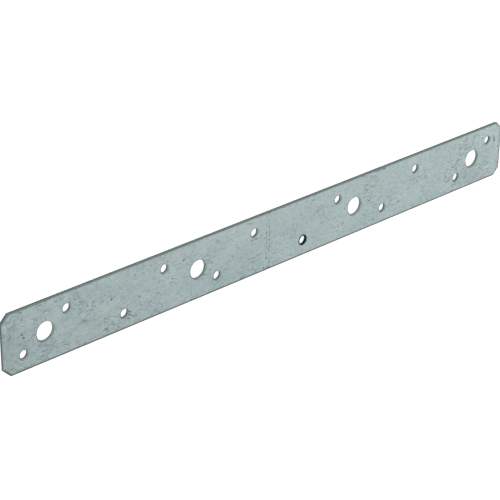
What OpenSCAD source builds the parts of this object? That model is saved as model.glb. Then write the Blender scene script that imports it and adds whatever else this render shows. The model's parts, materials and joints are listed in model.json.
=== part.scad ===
// Flat punched wall tie: one galvanised steel strap with clipped corners, four bolt holes
// on its middle line and two staggered rows of nail holes. Millimetres.
// The strap lies on its back face, with its length along X and its width along Y.
// The origin is at the middle of the back face.

/* [Strap] */
// Length over the two ends
strap_length = 384; // [300:1:600]
// Width over the two long edges
strap_width = 36; // [34:0.5:60]
// Thickness of the sheet
sheet_thickness = 2; // [1:0.1:4]
// Length that each clipped corner takes off both edges
corner_clip = 4.5; // [2:0.5:7]
// Radius of the die roll, the rounding that a shear leaves round the front face
edge_roll = 0.3; // [0.1:0.05:0.5]

/* [Bolt holes] */
// Diameter of the four bolt holes
bolt_hole_d = 11; // [8:0.5:12]
// Radius of the die roll round the front rim of a bolt hole
bolt_hole_roll = 0.25; // [0.1:0.05:0.5]
// Distance along the strap from a bolt hole to the nail hole beside it
bolt_to_nail = 14; // [12:0.5:18]

/* [Nail holes] */
// Diameter of the nail holes
nail_hole_d = 5.2; // [3:0.1:6]
// Radius of the die roll round the front rim of a nail hole
nail_hole_roll = 0.2; // [0.05:0.05:0.4]
// Number of nail holes in each of the two rows
nails_per_row = 6; // [4:2:8]
// Distance across the strap between the two rows
nail_row_gap = 17; // [14:0.5:20]
// Distance from a row's first hole to the end of the strap
nail_to_end = 13; // [10:0.5:18]

/* [Hidden] */

// How far a cutter runs past the face that it opens
overrun = 1;
// Number of segments on a full circle
segments = 96;

half_length = strap_length / 2;
half_width = strap_width / 2;

// The two rows are the same line of holes turned end for end, so the second starts
// this much further in: a bolt hole sits midway in the step at each end.
row_stagger = 2 * bolt_to_nail;
nail_pitch = (strap_length - 2 * nail_to_end - row_stagger) / (nails_per_row - 1);

// Places along the strap of the holes in the lower row; the upper row is its half turn
nail_places = [for (k = [0 : nails_per_row - 1]) nail_to_end - half_length + k * nail_pitch];

// The outer bolt hole follows the row's first nail hole, and the inner one comes
// just before the last nail hole of the same half. The other half is the half turn.
bolt_places = [
    nail_places[0] + bolt_to_nail,
    nail_places[nails_per_row / 2 - 1] - bolt_to_nail
];

// Outline of the strap, anticlockwise from the lower left
outline = [
    [-half_length + corner_clip, -half_width],
    [half_length - corner_clip, -half_width],
    [half_length, -half_width + corner_clip],
    [half_length, half_width - corner_clip],
    [half_length - corner_clip, half_width],
    [-half_length + corner_clip, half_width],
    [-half_length, half_width - corner_clip],
    [-half_length, -half_width + corner_clip]
];

// Everything in it, and the same turned half a turn about the middle of the strap
module both_ends() {
    children();
    rotate([0, 0, 180]) children();
}

// Section that a die roll takes off a square edge: its corner is at the origin, with the
// face along the top and the sheared wall on the right
module roll_section(radius) {
    difference() {
        translate([-radius, -radius]) square([radius + overrun, radius + overrun]);
        translate([-radius, -radius]) circle(r = radius, $fn = segments);
    }
}

// What the die roll takes off the front edge that runs from one outline point to the next
module edge_roll_cut(from, to) {
    run = to - from;
    heading = atan2(run[1], run[0]);
    translate([from[0], from[1], sheet_thickness])
        rotate([0, 0, heading])
            translate([-overrun, 0, 0])
                rotate([90, 0, 90])
                    linear_extrude(norm(run) + 2 * overrun)
                        mirror([1, 0, 0]) roll_section(edge_roll);
}

// One punched hole: a straight bore, and a front rim that the punch has drawn in
module punched_hole(x, y, diameter, roll) {
    translate([x, y, -overrun])
        cylinder(h = sheet_thickness + 2 * overrun, d = diameter, $fn = segments);
    translate([x, y, sheet_thickness])
        rotate_extrude($fn = segments)
            translate([diameter / 2, 0]) mirror([1, 0, 0]) roll_section(roll);
}

module bolt_holes() {
    both_ends()
        for (x = bolt_places)
            punched_hole(x, 0, bolt_hole_d, bolt_hole_roll);
}

module nail_holes() {
    both_ends()
        for (x = nail_places)
            punched_hole(x, -nail_row_gap / 2, nail_hole_d, nail_hole_roll);
}

// The whole tie, sheared and punched from one sheet
module strap() {
    color([0.63, 0.69, 0.69])
        difference() {
            linear_extrude(sheet_thickness) polygon(outline);
            for (i = [0 : len(outline) - 1])
                edge_roll_cut(outline[i], outline[(i + 1) % len(outline)]);
            bolt_holes();
            nail_holes();
        }
}

strap();
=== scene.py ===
import json
import math
from functools import partial

import bpy
import numpy as np
from mathutils import Matrix, Vector


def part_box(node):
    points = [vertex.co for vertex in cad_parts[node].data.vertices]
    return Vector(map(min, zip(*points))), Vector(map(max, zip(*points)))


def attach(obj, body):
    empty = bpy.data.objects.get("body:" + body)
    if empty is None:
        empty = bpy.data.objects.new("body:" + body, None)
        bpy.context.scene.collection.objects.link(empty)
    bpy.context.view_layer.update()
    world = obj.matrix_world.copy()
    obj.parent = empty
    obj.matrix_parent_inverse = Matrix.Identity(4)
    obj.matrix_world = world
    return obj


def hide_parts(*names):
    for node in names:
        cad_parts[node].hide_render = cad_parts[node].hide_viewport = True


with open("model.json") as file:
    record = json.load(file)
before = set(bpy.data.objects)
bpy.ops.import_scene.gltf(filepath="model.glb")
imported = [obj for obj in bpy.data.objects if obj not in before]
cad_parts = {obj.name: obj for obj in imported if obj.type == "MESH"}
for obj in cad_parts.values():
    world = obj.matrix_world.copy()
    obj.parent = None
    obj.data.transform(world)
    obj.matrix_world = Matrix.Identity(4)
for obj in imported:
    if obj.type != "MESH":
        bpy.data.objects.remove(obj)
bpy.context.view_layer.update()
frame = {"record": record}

# Punched wall tie in galvanised steel sheet, lying flat on a pale floor.
# Shapes are worked out in millimetres and turned to metres when the mesh is made.
mm = 0.001
gridDigits = 6                 # decimals of a mm to which grid lines are rounded
weldDigits = 4                 # decimals of a mm in which two places agree that become one point
slack = 10.0 ** -weldDigits    # mm by which a grid line may miss its place
lowCorner, highCorner = (np.array(corner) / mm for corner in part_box("strap"))
halfLength, halfWidth = (highCorner - lowCorner)[:2] / 2
thickness = highCorner[2] - lowCorner[2]

strap = {
    "cornerClip": 4.5,        # leg of each clipped corner
    "gridStep": 1.0,          # spacing of the points on the two faces
    "edgeInset": 1.4,         # how far inside the outline the flat grid stops
    "edgeRing": 0.9,          # and how far inside it one more ring of points lies
    "boltBlock": 8.0,         # half side of the square of grid that a bolt hole takes up
    "nailBlock": 4.5,         # the same for a nail hole
    "rimRings": 6,            # rings of points between a block's border and the rim
    "rimCrowding": 1.5,       # power that crowds them towards the rim
    "sharpAngle": 40,         # degrees at which two faces meet in a sharp edge
    # The sheared outline and the punched holes
    "edgeRoll": (0.5, 0.25),  # width and depth of the rolled-in front edge
    "boltRoll": (0.4, 0.25),  # the same for the rim of a bolt hole
    "nailRoll": (0.3, 0.2),   # and for the rim of a nail hole
    "rollPoints": 7,          # points down the roll, the smooth part and the torn part
    "landPoints": 4,
    "tearPoints": 8,
    "edgeLand": 0.3,          # share of the thickness that the shear leaves smooth
    "holeLand": 0.38,         # and the share that the punches leave smooth
    "breakOut": 0.09,         # how far the torn part leans away below the smooth part
    "breakCurve": 0.7,        # power of that lean, which is strongest at its top
    "tearFoot": 0.1,          # height at which the torn part ends
    "tearDepth": 0.02,        # roughness of the torn part
    "tearWaves": 16,          # number of sines in that roughness
    "tearSlide": 9.0,         # most that a sine slides along per mm of height, in radians
    "edgeSeed": 7,
    "holeSeed": 100,          # of the first hole, and one more for each further hole
    "burr": 0.03,             # height of the burr round the back rims
    # Its section, in rows of inset from the torn foot, height in burrs, torn share, cut share
    # and share of the foot's shade
    "burrSection": (
        (0.01, 1.0, 0.6, 1.0, 1.0),
        (0.05, 0.0, 0.2, 0.7, 0.5),
        (0.14, 0.5, 0.0, 0.2, 0.0),
        (0.30, 1.0, 0.0, 0.0, 0.0),
    ),
    # The rolled sheet's waves, and how the punches pull it in
    "waveCount": 26,
    "waveLengths": (13, 110),
    "waveWeight": 0.6,        # power of its length that a wave's height follows
    "waveSpread": 0.3,        # how far the sum of the waves spreads about the middle
    "waveSeed": 41,
    "waveHeight": 0.035,
    "backWave": 0.5,          # share of that height on the back face
    "frontFrom": 0.55,        # share of the thickness above which points move with the front
    "backUpTo": 0.3,          # and below which they move with the back
    "drawIn": 0.05,           # how far the punch pulls the face down at a rim
    "drawReach": 1.1,         # and how far from the rim that has faded to a third
    # The line that the press tool leaves across the front
    "lineX": -9.0,
    "lineRows": 0.95,         # how far to either side of it the tool's two edges sink
    "lineDepth": 0.05,
    "lineWidth": 0.35,
    "lineGrid": (1.5, 13),    # half width and number of the finer grid lines there
    # How dark the sheared outline is at its land, torn top and torn foot, and the same for
    # the holes, where the punch has smeared zinc over the land. This is partly the bare steel's
    # own colour and partly painted shade of the walls.
    "edgeShades": (0.82, 0.92, 0.88),
    "boltShades": (0.6, 0.95, 0.62),
    "nailShades": (0.45, 0.95, 0.85),
    # How far painted shade darkens the skin at each kind of edge, and how wide the shaded band is
    "lowSidePaintedShade": (1.0, 1.4),
    "highSidePaintedShade": (0.65, 1.0),
    "lowEndPaintedShade": (0.05, 0.8),
    "highEndPaintedShade": (0.45, 2.4),
    "holeLowSidePaintedShade": (0.9, 0.8),
    "holeHighSidePaintedShade": (0.28, 0.7),
    # The nail hole whose wall is painted nearly black as shade, and the painted shade round its
    # rim: how far that is off centre along and across, its width, the width over which it fades,
    # and its darkness
    "darkHole": (19.0, -8.5),
    "paintedRimShade": (-0.25, 0.25, 0.95, 0.4, 0.65),
}


def holesFromRecord():
    # Each mount is a pair of holes, half its spacing to either side of its place.
    # Rows are x, y, radius, half side of the block, width and depth of the rim's roll,
    # and the three shades of the wall.
    rows = []
    for mount in frame["record"]["mounts"]:
        if mount["kind"] != "bolt_pattern":
            continue
        x, y = mount["pos_m"][0] / mm, mount["pos_m"][1] / mm
        half = mount["dims"]["spacing_x_mm"] / 2
        radius = mount["dims"]["hole_r_mm"]
        size = "bolt" if radius > strap["nailBlock"] else "nail"
        shape = (y, radius, strap[size + "Block"], *strap[size + "Roll"], *strap[size + "Shades"])
        rows += [(x - half, *shape), (x + half, *shape)]
    return np.array(sorted(rows))


holes = holesFromRecord()


def smoothStep(value):
    # 0 below 0, 1 above 1, and 3t^2 - 2t^3 between
    t = np.clip(value, 0, 1)
    return t * t * (3 - 2 * t)


def endDistance(p):
    # Half the length less the distance from the middle
    return np.maximum(halfLength - np.abs(p[..., 0]), 0)


def sideDistance(p):
    # Least of the distances inwards from the long edges and the clipped corners
    x, y = np.abs(p[..., 0]), np.abs(p[..., 1])
    toClip = (halfLength + halfWidth - strap["cornerClip"] - x - y) / math.sqrt(2)
    return np.maximum(np.minimum(halfWidth - y, toClip), 0)


def rimDistances(p):
    # Distance to the rim of each hole: the distance to its centre less its radius
    return np.hypot(p[..., :1] - holes[:, 0], p[..., 1:] - holes[:, 1]) - holes[:, 2]


def holeDistance(p):
    # Distance to the nearest rim, and 0 inside a hole
    return np.maximum(rimDistances(p).min(-1), 0)


def holeSide(p):
    # 0 at the low-x side of the nearest hole and 1 at its high-x side
    nearest = holes[rimDistances(p).argmin(-1)]
    return smoothStep(0.5 + (p[..., 0] - nearest[..., 0]) / (2 * nearest[..., 2]))


def cutDistance(p):
    # Distance to whichever is nearest: an end, a side or a hole
    return np.minimum(np.minimum(endDistance(p), sideDistance(p)), holeDistance(p))


rng = np.random.default_rng(strap["waveSeed"])
waveLengths = np.exp(rng.uniform(*np.log(strap["waveLengths"]), strap["waveCount"]))
waveHeadings = rng.uniform(0, math.pi, strap["waveCount"])
wavePhases = rng.uniform(0, 2 * math.pi, strap["waveCount"])


def waviness(p):
    # Sum of plane waves of random length, heading and phase, the long ones higher,
    # brought to the range from 0 to 1
    k = 2 * math.pi / waveLengths
    across = p[..., :1] * np.cos(waveHeadings) + p[..., 1:] * np.sin(waveHeadings)
    weights = waveLengths ** strap["waveWeight"]
    total = (np.sin(across * k + wavePhases) * weights).sum(-1) / np.sqrt((weights ** 2).sum())
    return np.clip(0.5 + strap["waveSpread"] * total, 0, 1)


def settled(p, z):
    # Height of a point after rolling and punching: near the front face it sinks by the
    # waves, the pull of the punch and the tool's line, and near the back it rises by the
    # waves, from nothing at a rim to two thirds of their full height 1 mm away
    height = z / thickness
    nearFront = smoothStep((height - strap["frontFrom"]) / (1 - strap["frontFrom"]))
    nearBack = 1 - smoothStep(height / strap["backUpTo"])
    waves = strap["waveHeight"] * waviness(p)
    away = cutDistance(p)
    pull = strap["drawIn"] * np.exp(-away / strap["drawReach"])
    fromRow = np.abs(p[..., 0] - strap["lineX"]) - strap["lineRows"]
    line = strap["lineDepth"] * np.exp(-(fromRow / strap["lineWidth"]) ** 2)
    rise = strap["backWave"] * waves * (1 - np.exp(-away))
    return z - nearFront * (waves + pull + line) + nearBack * rise


def sideBySide(*columns):
    # Columns of one table, in which a single number fills its whole column
    return np.stack(np.broadcast_arrays(*columns), axis=1)


def cutProfile(roll, landShare, shades):
    # Section of a punched or sheared edge from the front face to the back, in rows of
    # outset, z, torn share, cut share and shade. Outset 0 is the finished wall and less is
    # into the metal: a quarter ellipse of roll, a straight burnished land, a torn face whose
    # lean grows by a power of its depth, and a burr that the back face rises from.
    # The roll is its width and depth. The shades are how dark the land is, and the torn face
    # at its top and its foot, partly as painted shade of the wall.
    width, depth = roll
    landShade, topShade, footShade = shades
    tearTop = thickness * (1 - landShare)
    turn = np.linspace(0, math.pi / 2, strap["rollPoints"])
    share = turn / turn[-1]
    rolled = sideBySide(width * (np.sin(turn) - 1), thickness - depth * (1 - np.cos(turn)), 0,
                        share ** 2, landShade * share)
    down = np.linspace(thickness - depth, tearTop, strap["landPoints"])[1:]
    land = sideBySide(0, down, 0, 1, landShade)
    t = np.linspace(0, 1, strap["tearPoints"])[1:]
    torn = sideBySide(-strap["breakOut"] * t ** strap["breakCurve"],
                      tearTop + (strap["tearFoot"] - tearTop) * t, 1, 1,
                      topShade + (footShade - topShade) * t)
    inset, height, rough, bare, dark = np.transpose(strap["burrSection"])
    burr = sideBySide(-strap["breakOut"] - inset, strap["burr"] * height, rough, bare,
                      footShade * dark)
    return np.concatenate([rolled, land, torn, burr])


def tearNoise(count, z, seed):
    # Roughness along a closed edge at each height: the size of a sum of sines, each slid
    # along by its own share of the height. They have whole numbers of waves round the edge,
    # so that the end meets the start, and a tenth to a third as many as it has points.
    # Gives a row for each height.
    r = np.random.default_rng(seed)
    sines = strap["tearWaves"]
    waves = r.integers(max(3, count // 10), count // 3, sines)
    slidePerMm = r.uniform(-strap["tearSlide"], strap["tearSlide"], sines)
    slide = slidePerMm * z[:, None] + r.uniform(0, 2 * math.pi, sines)
    turn = 2 * math.pi * np.arange(count)[:, None] / count
    return np.abs(np.sin(turn * waves + slide[:, None]).sum(-1)) / math.sqrt(sines)


def carriedProfile(wall, outward, profile, seed):
    # Profile carried round a loop: point = wall point + outset * outward direction, with the
    # torn part roughened into the metal. Rows are points with their z, cut share and shade,
    # in a ring for each row of the profile.
    outset, z, torn = profile[:, 0], profile[:, 1], profile[:, 2]
    rough = strap["tearDepth"] * torn[:, None] * tearNoise(len(wall), z, seed)
    flat = wall + (outset[:, None] - rough)[..., None] * outward
    rest = np.broadcast_to(profile[:, None, [1, 3, 4]], (*flat.shape[:2], 3))
    return np.concatenate([flat, rest], axis=-1)


def blankRing(flat, z):
    # A ring of plain face points, in the same columns as a carried profile's
    return sideBySide(*flat.T, z, 0, 0)[None]


def border(block):
    # Points round the border of a rectangular block of the grid, anticlockwise from its lower left
    return np.concatenate([block[:-1, 0], block[-1, :-1], block[:0:-1, -1], block[0, :0:-1]])


def gridLines(stops, step):
    # Every stop, with even steps of about the given size between each two
    stops = np.unique(np.round(stops, gridDigits))
    runs = []
    for a, b in zip(stops, stops[1:]):
        count = max(1, round((b - a) / step))
        runs.append(np.linspace(a, b, count, endpoint=False))
    return np.concatenate(runs + [stops[-1:]])


def facePlan():
    # Lines along and across that meet the border of every hole's block, with finer ones
    # at the tool's line. Past the clipped corners each line across is drawn in, so that
    # the grid's own border is the outline, inset.
    inset = strap["edgeInset"]
    clip = strap["cornerClip"] - inset * (2 - math.sqrt(2))
    endX, endY = halfLength - inset, halfWidth - inset
    lineReach, lineCount = strap["lineGrid"]
    nearLine = strap["lineX"] + np.linspace(-lineReach, lineReach, lineCount)
    blockX = np.concatenate([holes[:, 0] - holes[:, 3], holes[:, 0] + holes[:, 3]])
    blockY = np.concatenate([holes[:, 1] - holes[:, 3], holes[:, 1] + holes[:, 3]])
    ends = np.array([-endX, clip - endX, endX - clip, endX])
    linesX = gridLines(np.concatenate([ends, blockX, nearLine[[0, -1]]]), strap["gridStep"])
    linesX = np.union1d(linesX, np.round(nearLine, gridDigits))
    linesY = gridLines(np.concatenate([[-endY, endY], blockY]), strap["gridStep"])
    x, y = np.meshgrid(linesX, linesY, indexing="ij")
    drawnIn = 1 - np.maximum(np.abs(x) - (endX - clip), 0) / endY
    return linesX, linesY, np.stack([x, y * drawnIn], -1)


def gridQuads(nx, ny, keep):
    # Corners of the grid's kept cells, anticlockwise
    i, j = np.nonzero(keep)
    return np.stack([i * ny + j, (i + 1) * ny + j, (i + 1) * ny + j + 1, i * ny + j + 1], -1)


def bandQuads(rings, count):
    # Corners of the cells of a closed band, from each ring to the next
    i, j = (a.ravel() for a in np.meshgrid(np.arange(rings - 1), np.arange(count), indexing="ij"))
    k = (j + 1) % count
    return np.stack([i * count + j, (i + 1) * count + j, (i + 1) * count + k, i * count + k], -1)


def outlineBand(plan):
    # The sheared outline, carried round the grid's border. Each point moves along the
    # mitre of its two sides: the sum of their normals over one plus their product.
    ring = border(plan)
    side = np.roll(ring, -1, 0) - ring
    normal = np.stack([side[:, 1], -side[:, 0]], 1) / np.hypot(*side.T)[:, None]
    before = np.roll(normal, 1, 0)
    mitre = (before + normal) / (1 + (before * normal).sum(1))[:, None]
    wall = ring + strap["edgeInset"] * mitre
    middle = wall - strap["edgeRing"] * mitre
    profile = cutProfile(strap["edgeRoll"], strap["edgeLand"], strap["edgeShades"])
    front = [blankRing(ring, thickness), blankRing(middle, thickness)]
    back = [blankRing(middle, strap["burr"]), blankRing(ring, strap["burr"])]
    cut = carriedProfile(wall, mitre, profile, strap["edgeSeed"])
    return np.concatenate(front + [cut] + back)


def holeBand(linesX, linesY, plan, hole, seed):
    # One punched hole with the square of face round it: rings blend from the square's
    # border to a circle, go down the wall, and blend back to the square on the back face.
    # The circle starts three eighths of a turn back, at the lower left, as the border does.
    x, y, radius, block, rollWidth, rollDepth, *shades = hole
    i = np.searchsorted(linesX, (x - block - slack, x + block - slack))
    j = np.searchsorted(linesY, (y - block - slack, y + block - slack))
    square = border(plan[i[0]:i[1] + 1, j[0]:j[1] + 1])
    angle = 2 * math.pi * (np.arange(len(square)) / len(square) - 3 / 8)
    radial = np.stack([np.cos(angle), np.sin(angle)], 1)
    profile = cutProfile((rollWidth, rollDepth), strap["holeLand"], shades)
    steps = np.linspace(0, 1, strap["rimRings"] + 1)[:-1]
    shares = 1 - (1 - steps) ** strap["rimCrowding"]
    centre = np.array([x, y])
    frontCircle = centre + (radius - profile[0, 0]) * radial
    backCircle = centre + (radius - profile[-1, 0]) * radial
    front = [blankRing(square + (frontCircle - square) * s, thickness) for s in shares]
    back = [blankRing(square + (backCircle - square) * s, strap["burr"]) for s in shares[::-1]]
    wall = carriedProfile(centre + radius * radial, -radial, profile, seed)
    return np.concatenate(front + [wall] + back)


def strapPatches():
    # Points and quads of the two faces, which leave out every hole's block, then of the band
    # round the outline, and then of the band at each hole
    linesX, linesY, plan = facePlan()
    middle = (plan[1:, 1:] + plan[:-1, :-1]) / 2
    inBlock = (np.abs(middle[..., None, :] - holes[:, :2]) < holes[:, 3, None]).all(-1).any(-1)
    faceQuads = gridQuads(*plan.shape[:2], ~inBlock)
    flat = plan.reshape(-1, 2)
    edge = outlineBand(plan)
    patches = [
        (blankRing(flat, thickness)[0], faceQuads),
        (blankRing(flat, strap["burr"])[0], faceQuads[:, ::-1]),
        (edge.reshape(-1, 5), bandQuads(*edge.shape[:2])),
    ]
    for number, hole in enumerate(holes):
        band = holeBand(linesX, linesY, plan, hole, strap["holeSeed"] + number)
        patches.append((band.reshape(-1, 5), bandQuads(*band.shape[:2])[:, ::-1]))
    return patches


def welded(patches):
    # The patches share their border points, so equal places become one point, and points
    # that no quad uses are dropped
    starts = np.cumsum([0] + [len(patch[0]) for patch in patches])
    points = np.concatenate([patch[0] for patch in patches])
    quads = np.concatenate([patch[1] + start for patch, start in zip(patches, starts)])
    keys = np.round(points[:, :3], weldDigits)
    first, place = np.unique(keys, axis=0, return_index=True, return_inverse=True)[1:]
    inUse, quads = np.unique(place.reshape(-1)[quads], return_inverse=True)
    return points[first][inUse], quads.reshape(-1, 4)


def edgeShadeShare(name, away):
    # Painted shade, full in the outer half of the shaded band and fading to nothing across the inner
    # half
    share, width = strap[name]
    return share * smoothStep(2 - 2 * away / width)


def paintedShares(points):
    # What the material reads at each point: how much of it is bare cut steel, how dark that
    # is, which is partly painted shade, how black the painted shade at the dark hole is there,
    # and how far painted shade darkens the skin by the edges
    flat, z, cut, shade = points[:, :2], points[:, 2], points[:, 3], points[:, 4]
    low, side = flat < 0, holeSide(flat)
    # Painted shade by the outline and the rims, stronger on the sides that turn from the light
    rubbed = np.max([
        edgeShadeShare("lowSidePaintedShade", sideDistance(flat)) * low[:, 1],
        edgeShadeShare("highSidePaintedShade", sideDistance(flat)) * ~low[:, 1],
        edgeShadeShare("lowEndPaintedShade", endDistance(flat)) * low[:, 0],
        edgeShadeShare("highEndPaintedShade", endDistance(flat)) * ~low[:, 0],
        edgeShadeShare("holeLowSidePaintedShade", holeDistance(flat)) * (1 - side),
        edgeShadeShare("holeHighSidePaintedShade", holeDistance(flat)) * side,
    ], axis=0)
    *offset, width, fade, darkness = strap["paintedRimShade"]
    # Painted shade round the dark hole's rim, on the front half only
    rimShade = smoothStep((width - holeDistance(flat - offset)) / fade)
    ring = darkness * (z > thickness / 2) * rimShade
    nearDark = np.hypot(*(flat - strap["darkHole"]).T) < strap["nailBlock"]
    return {"cut": cut, "shade": shade, "dark": nearDark * np.maximum(cut, ring), "rubbed": rubbed}


def makeStrap():
    # The welded patches as one mesh, with the painted shares as its attributes
    points, quads = welded(strapPatches())
    flat = points[:, :2]
    solid = np.column_stack([flat, settled(flat, points[:, 2])]) * mm
    mesh = bpy.data.meshes.new("wallTieStrap")
    mesh.from_pydata(solid.tolist(), [], quads.tolist())
    mesh.validate()
    for name, values in paintedShares(points).items():
        attribute = mesh.attributes.new(name, "FLOAT", "POINT")
        attribute.data.foreach_set("value", values.astype(np.float32))
    mesh.polygons.foreach_set("use_smooth", np.ones(len(mesh.polygons), bool))
    mesh.set_sharp_from_angle(angle=math.radians(strap["sharpAngle"]))
    piece = bpy.data.objects.new("wallTieStrap", mesh)
    bpy.context.scene.collection.objects.link(piece)
    print("strap:", len(mesh.vertices), "points,", len(mesh.polygons), "quads")
    return piece


def linear(hexColour):
    # sRGB hex to linear RGBA: c / 12.92 for the darkest, ((c + 0.055) / 1.055) ^ 2.4 for the rest
    parts = [int(hexColour[k:k + 2], 16) / 255 for k in (1, 3, 5)]
    return tuple(c / 12.92 if c <= 0.04045 else ((c + 0.055) / 1.055) ** 2.4 for c in parts) + (1.0,)


def addNode(tree, kind, inputs=(), output=0, **settings):
    # Adds a node, makes its settings, and sets or links its inputs, which come in the node's
    # own order or by name or number. Gives the output that is asked for.
    node = tree.nodes.new("ShaderNode" + kind)
    for name, value in settings.items():
        setattr(node, name, value)
    named = inputs if isinstance(inputs, dict) else dict(enumerate(inputs))
    for key, value in named.items():
        if isinstance(value, bpy.types.NodeSocket):
            tree.links.new(value, node.inputs[key])
        else:
            node.inputs[key].default_value = value
    return node.outputs[output] if node.outputs else None


def newMaterial(name):
    # A material with an empty tree of nodes
    material =bpy.data.materials.new(name)
    material.use_nodes = True
    material.node_tree.nodes.clear()
    return material, material.node_tree


# Hot-dip galvanised sheet, cold rolled and punched: a dull, faintly green grey zinc skin with
# soft clouds, and bare steel at the cuts, partly darkened with painted shade, which the eye
# sees as thin dark lines.
zinc = {
    "colours": {
        "deep": "#919E9E",
        "middle": "#A7B4B3",
        "pale": "#B8C4C3",
        "bluish": "#A7B3BC",
        "buff": "#B4BAB2",
        # pale scuffs and painted highlights
        "bright": "#D3DCDB",
        "mark": "#5F6B67",
        # painted shade by the edges
        "rubbed": "#646A67",
        "burnished": "#C9D6D5",
        "torn": "#45524F",
        "soot": "#232B2A",
    },
    # Patterns of noise: the size of a feature in mm, how far it is drawn out along and across,
    # its turn in degrees, its octaves and their roughness, the seed that moves it, and the
    # span of the noise that is brought to 0 and 1, or to the two numbers that follow
    "patterns": {
        "cloud": {"size": 24.0, "stretch": (1.4, 1.0)},
        "blotch": {"size": 5.0, "stretch": (1.3, 1.0), "octaves": 4, "roughness": 0.6, "seed": 5},
        # The real grain of 0.2 mm would not show, so it is drawn coarser
        "grain": {"size": 1.2, "stretch": (1.5, 1.0), "octaves": 2, "seed": 9},
        "patches": {"size": 16, "octaves": 1, "seed": 13, "span": (0.46, 0.62)},
        "tint": {"size": 30, "stretch": (1.6, 1.0), "octaves": 1, "seed": 3},
        "lengthwise": {"size": 1.0, "stretch": (4.5, 1), "turn": 6, "octaves": 0, "seed": 83,
                       "span": (0.62, 0.88)},
        "crosswise": {"size": 0.9, "stretch": (1, 3), "turn": -24, "octaves": 0, "seed": 89,
                      "span": (0.68, 0.96)},
        "flecks": {"size": 1.4, "octaves": 0, "seed": 97, "span": (0.69, 0.90)},
        "dots": {"size": 1.6, "octaves": 1, "seed": 37, "span": (0.50, 0.64, 0.05, 0.7)},
        # Pale scuffs, partly bright scratched zinc and partly painted glints
        "scuffs": {"size": 0.8, "stretch": (3, 1), "turn": -12, "octaves": 1, "seed": 31,
                   "span": (0.62, 0.80, 0.0, 0.6)},
        "ragged": {"size": 0.7, "seed": 29},
    },
    "plainPattern": {"stretch": (1, 1), "turn": 0, "octaves": 3, "roughness": 0.55, "seed": 0},
    # The skin is calmest right of the middle, and less even towards the ends. Each slope
    # runs from one place to another, in mm, and from one share to another, and they add up.
    "unevenLeft": (-190, 45, 1.0, 0.45),
    "unevenRight": (60, 187, 0.0, 0.55),
    # The tone, which is 0.5 on average
    "toneStart": -0.725,
    "toneShares": (0.85, 0.65),           # of blotches and clouds
    "grainShares": (0.75, 0.7),           # of the grain everywhere, and what patches add
    "sideTones": (0.465, 0.535),          # what the low and the high side add
    "middleTones": (0.25, 0.5),           # tones across which deep turns into middle
    "paleTones": (0.5, 0.78),             # and middle into pale
    "bluishTints": (0.52, 0.75, 0.0, 0.1),
    "buffTints": (0.48, 0.25, 0.0, 0.25),
    # Handling marks
    "scratchPatches": (0.35, 0.6),        # strength everywhere, and what patches add
    "scratchUneven": (0.3, 0.7),          # the same for the less even stretches
    "markFray": 0.8,                      # how far the grain frays a mark
    "markSpan": (0.45, 1.0),              # fall-off across which a mark fades in
    # The tool's line
    "lineFront": (0.4, 0.6),              # shares of the thickness between which it starts
    "dotRow": (0.1, 0.7, 1.0, 0.0),       # a row of dots fades across these mm
    "ridgeHighlight": (0.1, 0.6, 0.22, 0.0),       # and so does the painted highlight on the ridge, from this brightness
    # The cuts
    "raggedStart": -0.25,
    "raggedShare": 0.5,                   # how uneven the border of the torn part is
    "cutSpan": (0.2, 0.8),
    "paintedHoleShadeSpan": (0.1, 0.6),
    "roughness": 0.36,                    # least, and about 0.46 on the plain skin
    "rougher": (0.2, 0.2, 0.15),          # what blotches, cut walls and marks add
    "relief": 0.03,                       # mm
    "reliefStrength": 0.5,
    "reliefShares": (0.35, 0.5, -0.25),   # of grain, blotches and marks
}

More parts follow.
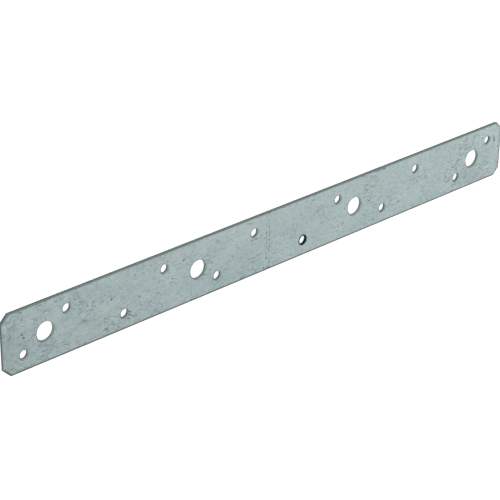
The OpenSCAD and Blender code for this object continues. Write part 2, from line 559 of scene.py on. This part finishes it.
# Marks that can be told apart: x, y, half length, half width in mm, turn in degrees, darkness
marks = {
    "blotTopLeftCorner": (-180.0, 16.2, 1.2, 0.8, 0, 0.6),
    "spotLeftEndHigh": (-179.6, 12.0, 1.1, 0.8, 30, 0.6),
    "spotLeftEndMiddle": (-179.8, 3.5, 1.1, 0.8, -30, 0.9),
    "spotLeftEndLow": (-178.9, 1.3, 1.2, 0.8, -20, 0.8),
    "spotByNailHole": (-181.0, -1.5, 0.8, 0.6, -30, 0.7),
    "rubAtLeftEnd": (-187.4, 4.3, 2.2, 0.7, 48, 0.45),
    "streakLowerLeft": (-167.6, -13.4, 2.8, 0.6, 10, 0.55),
    "smudgeAboveBoltHole": (-165.0, 11.7, 2.6, 0.9, 5, 0.35),
    "smudgeTopLeft": (-157.7, 14.8, 1.5, 0.7, -10, 0.55),
    "stainLeft": (-139.9, -3.0, 3.0, 1.3, -30, 0.4),
    "nickLowerLeft": (-140.2, -16.2, 1.4, 0.7, 0, 0.5),
    "smudgeLeft": (-126.0, -6.8, 1.6, 0.8, -15, 0.5),
    "fleckLeft": (-121.8, 3.0, 0.9, 0.8, 0, 0.9),
    "scratchByNailHoleHigh": (-109.6, -8.6, 1.9, 0.5, -25, 0.9),
    "scratchByNailHoleMiddle": (-109.4, -10.6, 1.9, 0.5, -25, 0.9),
    "scratchByNailHoleLow": (-110.4, -12.4, 1.7, 0.5, -25, 0.8),
    "smudgeMidLeft": (-102.5, -2.1, 1.5, 0.9, 0, 0.5),
    "smudgeAboveInnerBoltHole": (-71.4, 9.3, 1.6, 0.9, 30, 0.7),
    "smudgeTopMiddle": (-46.6, 12.3, 2.0, 0.7, -5, 0.5),
    "nickLowerMiddle": (-29.2, -16.2, 1.5, 0.8, 30, 0.6),
    "arcBelowNailHoleLeft": (-20.6, 4.3, 2.2, 0.45, 8, 0.75),
    "arcBelowNailHoleMiddle": (-17.6, 4.4, 2.6, 0.45, -2, 0.8),
    "arcBelowNailHoleRight": (-14.2, 5.0, 2.2, 0.45, 22, 0.6),
    "lowerScratch": (-15.8, -6.3, 3.4, 0.45, 6, 0.55),
    "lowerScratchEnd": (-19.4, -6.9, 0.9, 0.7, 0, 0.7),
    "smudgeBelowScratch": (-20.0, -9.5, 1.3, 0.7, 20, 0.45),
    "lineBlotTopEdge": (-9.8, 16.2, 0.9, 0.8, 0, 0.4),
    "lineBlotTop": (-8.7, 11.9, 0.5, 1.6, 0, 0.4),
    "lineBlotMiddle": (-8.0, -5.8, 0.6, 1.4, 0, 0.6),
    "lineBlotLow": (-9.1, -10.5, 0.5, 1.2, 0, 0.4),
    "lineBlotLowEdge": (-8.6, -16.3, 0.9, 0.9, 0, 0.7),
    "spotByLowerEdge": (-11.9, -16.0, 1.0, 0.7, 0, 0.85),
    "tickMiddle": (31.4, 8.3, 0.4, 1.1, 0, 0.6),
    "smudgeMiddle": (34.0, -2.0, 1.8, 1.2, 0, 0.3),
    "spotByBoltHole": (52.6, 0.9, 0.9, 0.8, 0, 0.5),
    "smudgeMidRight": (73.0, -0.3, 1.7, 1.0, -15, 0.5),
    "dentTopEdge": (85.0, 16.9, 2.2, 0.7, 0, 0.8),
    "dentTopEdgeTail": (80.5, 17.0, 5.0, 0.5, 0, 0.6),
    "spotLowerRight": (98.9, -8.9, 1.3, 0.9, 0, 0.75),
    "smudgeRight": (107.0, -2.7, 2.0, 0.8, 5, 0.35),
    "smudgeUpperRight": (143.0, 4.2, 1.6, 0.8, -20, 0.4),
    "smudgeByBoltHole": (154.8, 5.1, 1.2, 0.8, 20, 0.6),
    "fleckBoltRight": (157.9, -4.8, 1.1, 0.5, 15, 0.8),
    "spotByLastNailHole": (159.0, -11.6, 1.0, 0.8, 0, 0.55),
    "dashesAboveBoltHole": (165.2, 12.0, 0.6, 4.4, 0, 0.35),
    "fleckBelowBoltHole": (168.0, -5.7, 0.9, 0.5, -10, 0.6),
    "spotByEndNailHole": (174.5, 10.9, 1.0, 0.7, 0, 0.55),
    "tickRightEnd": (185.5, 7.2, 0.9, 3.1, 0, 0.9),
    "blotTopRightCorner": (187.0, 16.2, 1.0, 0.7, 0, 0.5),
    "rubAtRightEnd": (189.4, 1.4, 0.8, 1.5, 0, 0.5),
}


def galvanisedSteel():
    # Zinc skin in coats from deep to pale, with its marks, painted highlights and painted shade
    # by the edges, then bare steel at the cuts, partly painted shade, and painted shade at the
    # dark hole, each laid over the ones before it by its share
    material, tree = newMaterial("galvanisedSteelSheet")
    add = partial(addNode, tree)
    colours = {name: linear(value) for name, value in zinc["colours"].items()}
    place = add("TexCoord", output="Object")
    along, across, up = (
        add("Math", (add("SeparateXYZ", (place,), output=axis), mm), operation="DIVIDE")
        for axis in "XYZ")

    def pattern(name):
        # Noise whose features are about the pattern's size, drawn out by its stretch, turned,
        # and brought to its span where it has one
        look = {**zinc["plainPattern"], **zinc["patterns"][name]}
        scale = [1 / (mm * look["size"] * stretch) for stretch in (*look["stretch"], 1)]
        turn = (0, 0, math.radians(look["turn"]))
        turned = add("Mapping", {"Vector": place, "Rotation": turn})
        spot = add("Mapping", {"Vector": turned, "Location": (look["seed"],) * 3, "Scale": scale})
        noise = add("TexNoise", {"Vector": spot, "Scale": 1.0, "Detail": look["octaves"],
                                 "Roughness": look["roughness"]})
        return add("MapRange", (noise, *look["span"])) if "span" in look else noise

    def weighted(start, *terms):
        # The start plus each value times its share
        for value, share in terms:
            start = add("Math", (value, share, start), operation="MULTIPLY_ADD")
        return start

    def awayFrom(value, centre):
        # Size of the difference
        offset = add("Math", (value, centre), operation="SUBTRACT")
        return add("Math", (offset,), operation="ABSOLUTE")

    cut, shade, dark, rubbed = (
        add("Attribute", output="Fac", attribute_name=name)
        for name in ("cut", "shade", "dark", "rubbed"))
    cloud, blotch, grain, patches, tint = (
        pattern(name) for name in ("cloud", "blotch", "grain", "patches", "tint"))

    # The tone of the skin: patchy where it is uneven, grainy most of all in patches, and
    # a little paler towards the high side
    slopes = [add("MapRange", (along, *zinc[name])) for name in ("unevenLeft", "unevenRight")]
    uneven = add("Math", slopes, operation="ADD")
    patchy = weighted(zinc["toneStart"], *zip((blotch, cloud), zinc["toneShares"]))
    leastGrain, moreGrain = zinc["grainShares"]
    graininess = weighted(leastGrain, (patches, moreGrain))
    centredGrain = add("Math", (grain, 0.5), operation="SUBTRACT")
    sideTone = add("MapRange", (across, -halfWidth, halfWidth, *zinc["sideTones"]))
    tone = weighted(sideTone, (centredGrain, graininess), (patchy, uneven))

    # Handling scratches, mostly along the strap, and the marks that can be told apart
    worn = pattern("lengthwise")
    for name in ("crosswise", "flecks"):
        worn = add("Math", (worn, pattern(name)), operation="MAXIMUM")
    for value, name in ((patches, "scratchPatches"), (uneven, "scratchUneven")):
        least, more = zinc[name]
        worn = add("Math", (worn, weighted(least, (value, more))), operation="MULTIPLY")
    for x, y, halfLong, halfWide, turn, darkness in marks.values():
        spot = add("Mapping", {
            "Vector": place,
            "Location": (x * mm, y * mm, thickness * mm),
            "Rotation": (0, 0, math.radians(turn)),
            "Scale": (halfLong * mm, halfWide * mm, thickness * mm),
        }, vector_type="TEXTURE")
        blob = add("TexGradient", (spot,), output="Fac", gradient_type="SPHERICAL")
        frayed = weighted(blob, (grain, zinc["markFray"]))
        mark = add("MapRange", (frayed, *zinc["markSpan"], 0.0, darkness))
        worn = add("Math", (worn, mark), operation="MAXIMUM")

    # The tool's line, on the front only, is a painted highlight along a faint ridge between two rows
    # of dark dots
    front = add("MapRange", (up, *(share * thickness for share in zinc["lineFront"])))
    fromLine = awayFrom(along, strap["lineX"])
    fromRow = awayFrom(fromLine, strap["lineRows"])
    row = add("MapRange", (fromRow, *zinc["dotRow"]))
    dots = add("Math", (pattern("dots"), front), operation="MULTIPLY")
    dots = add("Math", (row, dots), operation="MULTIPLY")
    worn = add("Math", (worn, dots), operation="MAXIMUM")
    ridgeHighlight = add("Math", (add("MapRange", (fromLine, *zinc["ridgeHighlight"])), front), operation="MULTIPLY")
    # Pale scuffs with painted glints, and a painted highlight on the ridge of the tool's line
    bright = add("Math", (pattern("scuffs"), ridgeHighlight), operation="MAXIMUM")
    bright = add("Math", (bright, uneven), operation="MULTIPLY")

    # Bare steel, with an uneven border between smooth and torn, and darker by the shade share,
    # which is partly painted shade of the walls
    ragged = weighted(zinc["raggedStart"], (shade, 1.0), (pattern("ragged"), zinc["raggedShare"]))
    steel = add("Mix", {0: ragged, 6: colours["burnished"], 7: colours["torn"]},
                output=2, data_type="RGBA")

    coats = (
        (colours["middle"], add("MapRange", (tone, *zinc["middleTones"]))),
        (colours["pale"], add("MapRange", (tone, *zinc["paleTones"]))),
        (colours["bluish"], add("MapRange", (tint, *zinc["bluishTints"]))),
        (colours["buff"], add("MapRange", (tint, *zinc["buffTints"]))),
        # pale scuffs and painted highlights
        (colours["bright"], bright),
        (colours["mark"], worn),
        # painted shade by the edges
        (colours["rubbed"], rubbed),
        # bare steel, partly darkened with painted shade of the walls
        (steel, add("MapRange", (cut, *zinc["cutSpan"]))),
        # painted shade in the dark hole's wall and round its rim
        (colours["soot"], add("MapRange", (dark, *zinc["paintedHoleShadeSpan"]))),
    )
    colour = colours["deep"]
    for coat, share in coats:
        colour = add("Mix", {0: share, 6: colour, 7: coat}, output=2, data_type="RGBA")

    rough = weighted(zinc["roughness"], *zip((blotch, shade, worn), zinc["rougher"]))
    height = weighted(0.0, *zip((grain, blotch, worn), zinc["reliefShares"]))
    relief = add("Bump", {
        "Height": height, "Strength": zinc["reliefStrength"], "Distance": zinc["relief"] * mm})
    shader = add("BsdfPrincipled", {
        "Base Color": colour, "Metallic": 1.0, "Roughness": rough, "Normal": relief})
    add("OutputMaterial", {"Surface": shader})
    return material


floor = {
    "size": 6.0,            # m
    "gap": 0.02,            # mm that it lies under the strap, so that the two don't share a plane
    "colour": "#F4F4F2",
    "roughness": 0.9,       # uncoated paper
    "specular": 0.2,
    "glow": 0.65,           # light of its own, which keeps the floor in the holes white
}


def makeFloor():
    # One square, wide enough to fill the picture
    half = floor["size"] / 2
    corners = [(-half, -half), (half, -half), (half, half), (-half, half)]
    mesh = bpy.data.meshes.new("paleFloor")
    mesh.from_pydata([(x, y, -floor["gap"] * mm) for x, y in corners], [], [(0, 1, 2, 3)])
    piece = bpy.data.objects.new("paleFloor", mesh)
    bpy.context.scene.collection.objects.link(piece)
    material, tree = newMaterial("paleStudioPaper")
    shader = addNode(tree, "BsdfPrincipled", {
        "Base Color": linear(floor["colour"]),
        "Roughness": floor["roughness"],
        "Specular IOR Level": floor["specular"],
        "Emission Color": linear(floor["colour"]),
        "Emission Strength": floor["glow"],
    })
    addNode(tree, "OutputMaterial", {"Surface": shader})
    mesh.materials.append(material)


studio = {
    "sky": "#E9EEF0",
    "skyStrength": 1.0,
    "key": {"place": (1.8, -0.9, 1.3), "size": 1.4, "power": 3.2},      # m, m, W
    "fill": {"place": (-1.2, 1.3, 1.6), "size": 1.8, "power": 1.0},
}


def softbox(name, place, size, power):
    # A square area light that faces the strap's middle
    light = bpy.data.lights.new(name, "AREA")
    light.shape = "SQUARE"
    light.size = size
    light.energy = power
    lamp = bpy.data.objects.new(name, light)
    lamp.location = place
    lamp.rotation_euler = (-Vector(place)).to_track_quat("-Z", "Y").to_euler()
    bpy.context.scene.collection.objects.link(lamp)


def lightStudio():
    # An even sky and two softboxes
    world = bpy.data.worlds.new("softStudio")
    world.use_nodes = True
    world.node_tree.nodes.clear()
    sky = addNode(world.node_tree, "Background", {
        "Color": linear(studio["sky"]), "Strength": studio["skyStrength"]})
    addNode(world.node_tree, "OutputWorld", {"Surface": sky})
    bpy.context.scene.world = world
    softbox("keySoftbox", **studio["key"])
    softbox("fillSoftbox", **studio["fill"])


camera = {
    "eye": (-0.65125, 0.46229, 0.67103),        # m
    "ahead": (0.61136, -0.45050, -0.65061),
    "pictureUp": (0.29780, 0.89268, -0.33829),
    "lens": 132.62,                             # mm
    "sensor": 36.0,                             # mm
}


def placeCamera():
    # Its axes are the picture's right, the picture's up and the way back from the strap
    data = bpy.data.cameras.new("camera")
    data.lens = camera["lens"]
    data.sensor_width = camera["sensor"]
    body = bpy.data.objects.new("camera", data)
    back = -Vector(camera["ahead"]).normalized()
    right = Vector(camera["pictureUp"]).cross(back).normalized()
    turn = Matrix((right, back.cross(right), back)).transposed().to_4x4()
    body.matrix_world = Matrix.Translation(camera["eye"]) @ turn
    bpy.context.scene.collection.objects.link(body)
    bpy.context.scene.camera = body


placeCamera()
print("camera placed")
strapPiece = makeStrap()
strapPiece.data.materials.append(galvanisedSteel())
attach(strapPiece, "root")
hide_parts("strap")
print("strap finished")
makeFloor()
lightStudio()
bpy.context.scene.view_settings.view_transform = "Standard"
print("floor and lights placed")
